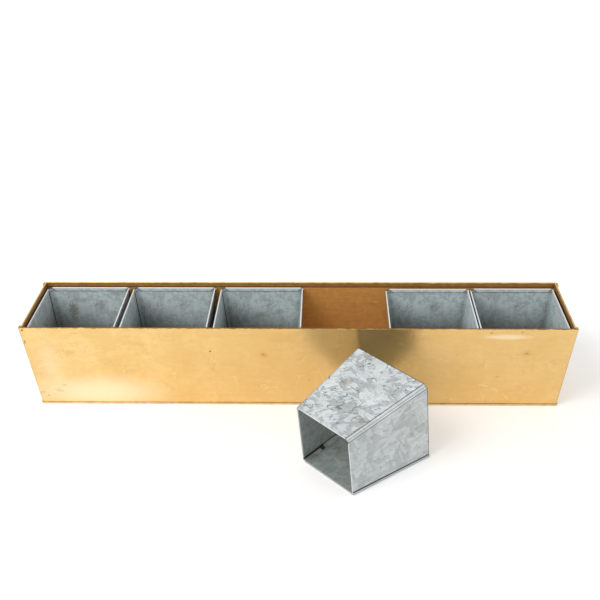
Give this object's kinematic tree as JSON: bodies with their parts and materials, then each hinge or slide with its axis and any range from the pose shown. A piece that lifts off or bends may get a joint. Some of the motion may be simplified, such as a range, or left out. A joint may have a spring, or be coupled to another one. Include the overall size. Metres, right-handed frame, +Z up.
{
  "type": "herb planter",
  "caption": "Long flared brass trough that holds a row of square tapered galvanised liners, each lifting straight out, with one liner laid in front.",
  "frame": {"origin": "middle of the trough's underside, on the surface it stands on", "axes": "+X along the trough, +Y to its back, +Z up; the loose liner lies on the -Y side"},
  "size_m": [0.6256, 0.2658, 0.1115],
  "materials": {
    "brass": "satin, hand-polished, lightly tarnished",
    "zinc": "hot-dip galvanised, dull, with a spangle"
  },
  "bodies": {
    "trough": {"trough_front": "brass", "trough_floor_pan": "brass", "trough_back": "brass", "trough_left_end": "brass", "trough_right_end": "brass"},
    "liner_1": {"liner_1_front": "zinc", "liner_1_left": "zinc", "liner_1_back": "zinc", "liner_1_right": "zinc"},
    "liner_2": {"liner_2_front": "zinc", "liner_2_left": "zinc", "liner_2_back": "zinc", "liner_2_right": "zinc"},
    "liner_3": {"liner_3_front": "zinc", "liner_3_left": "zinc", "liner_3_back": "zinc", "liner_3_right": "zinc"},
    "liner_4": {"liner_4_front": "zinc", "liner_4_left": "zinc", "liner_4_back": "zinc", "liner_4_right": "zinc"},
    "liner_5": {"liner_5_front": "zinc", "liner_5_left": "zinc", "liner_5_back": "zinc", "liner_5_right": "zinc"},
    "liner_6": {"liner_6_front": "zinc", "liner_6_left": "zinc", "liner_6_back": "zinc", "liner_6_right": "zinc"}
  },
  "joints": [
    {"name": "liner_1_lift", "type": "slide", "parent": "trough", "child": "liner_1", "axis": [0, 0, 1], "range_m": [0, 0.13]},
    {"name": "liner_2_lift", "type": "slide", "parent": "trough", "child": "liner_2", "axis": [0, 0, 1], "range_m": [0, 0.13]},
    {"name": "liner_3_lift", "type": "slide", "parent": "trough", "child": "liner_3", "axis": [0, 0, 1], "range_m": [0, 0.13]},
    {"name": "liner_4_lift", "type": "slide", "parent": "trough", "child": "liner_4", "axis": [0, 0, 1], "range_m": [0, 0.13]},
    {"name": "liner_5_lift", "type": "slide", "parent": "trough", "child": "liner_5", "axis": [0, 0, 1], "range_m": [0, 0.13]},
    {"name": "liner_6_lift", "type": "slide", "parent": "trough", "child": "liner_6", "axis": [0, 0, 1], "range_m": [0, 0.13]}
  ]
}
